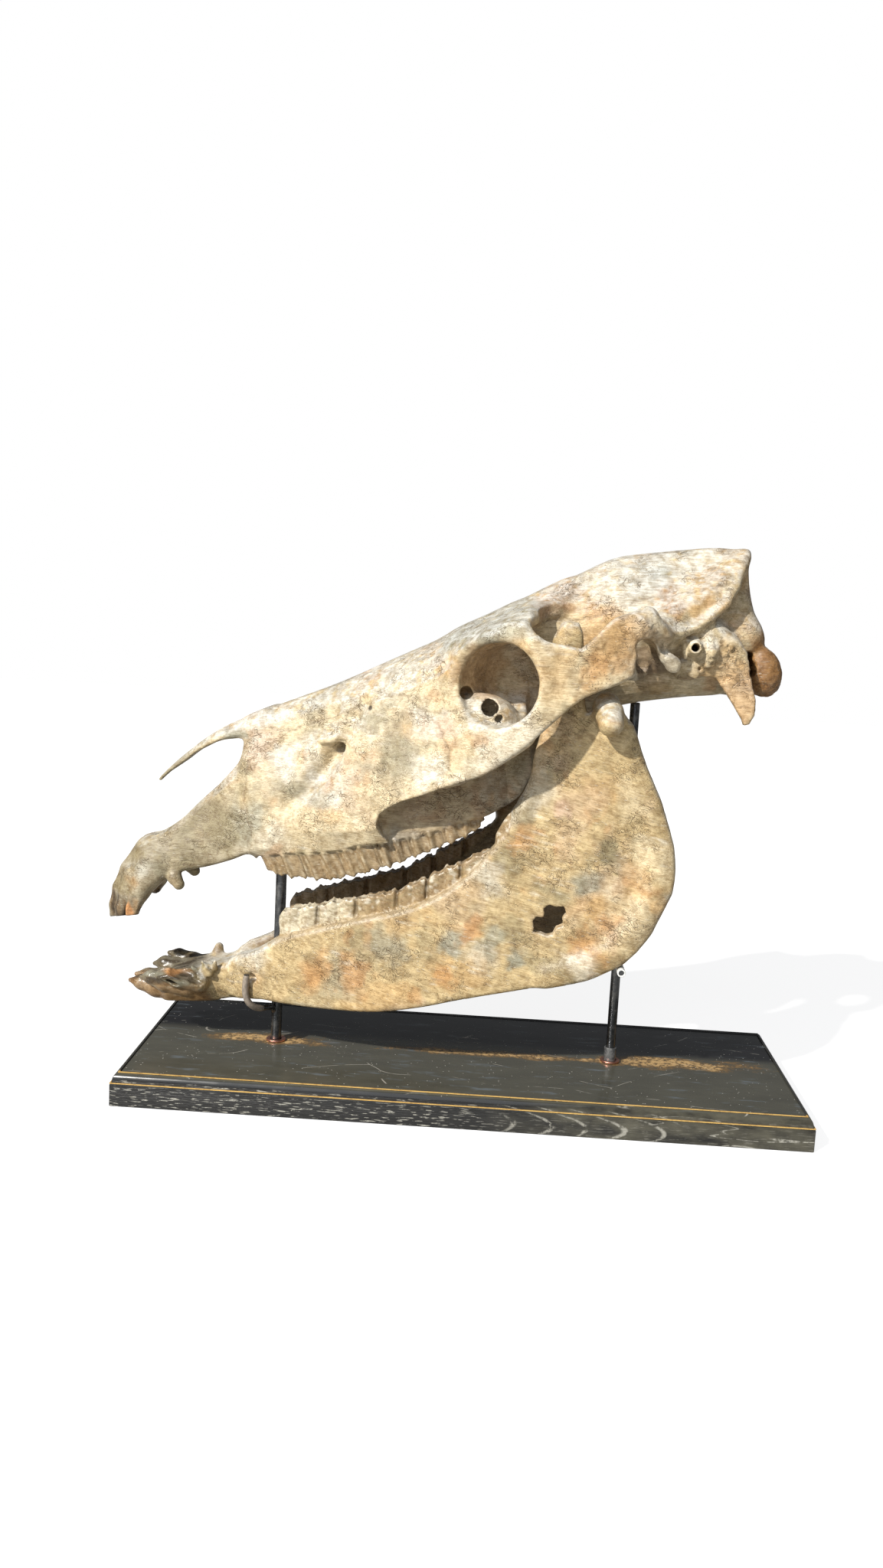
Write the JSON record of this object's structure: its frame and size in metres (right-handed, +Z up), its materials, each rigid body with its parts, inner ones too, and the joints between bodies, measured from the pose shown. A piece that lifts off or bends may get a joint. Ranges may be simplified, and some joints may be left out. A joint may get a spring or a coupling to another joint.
{
  "type": "horse skull on a display stand",
  "caption": "Life-size horse skull with its lower jaw, the mouth a little open, held by steel rods above a black wooden base with gold lines. A still display specimen.",
  "frame": {"origin": "the centre of the base board's underside, which stands on the floor", "axes": "+Z up; X along the base board, with the nose towards -X and the back of the skull towards +X; the animal's left side faces -Y"},
  "size_m": [0.5489, 0.2057, 0.4345],
  "materials": {
    "cranium_bone": "dry weathered bone, satin on the forehead and matt elsewhere",
    "mandible_bone": "dry weathered bone, matt, with glossier enamel on the teeth",
    "ebonised_wood": "black polish, glossy on top, with pale grain on the front",
    "gold_line": "thin gilt line, worn",
    "dark_steel": "blued steel, semi-gloss",
    "copper": "copper, satin",
    "clear_sleeve": "cloudy clear plastic tube"
  },
  "bodies": {
    "root": {"cranium": "cranium_bone", "mandible": "mandible_bone", "base_board": "ebonised_wood", "gold_line_lower": "gold_line", "gold_line_upper": "gold_line", "front_rod": "dark_steel", "rear_rod": "dark_steel", "front_collar": "copper", "rear_collar": "copper", "sleeve_left": "clear_sleeve", "sleeve_right": "clear_sleeve"}
  },
  "joints": []
}
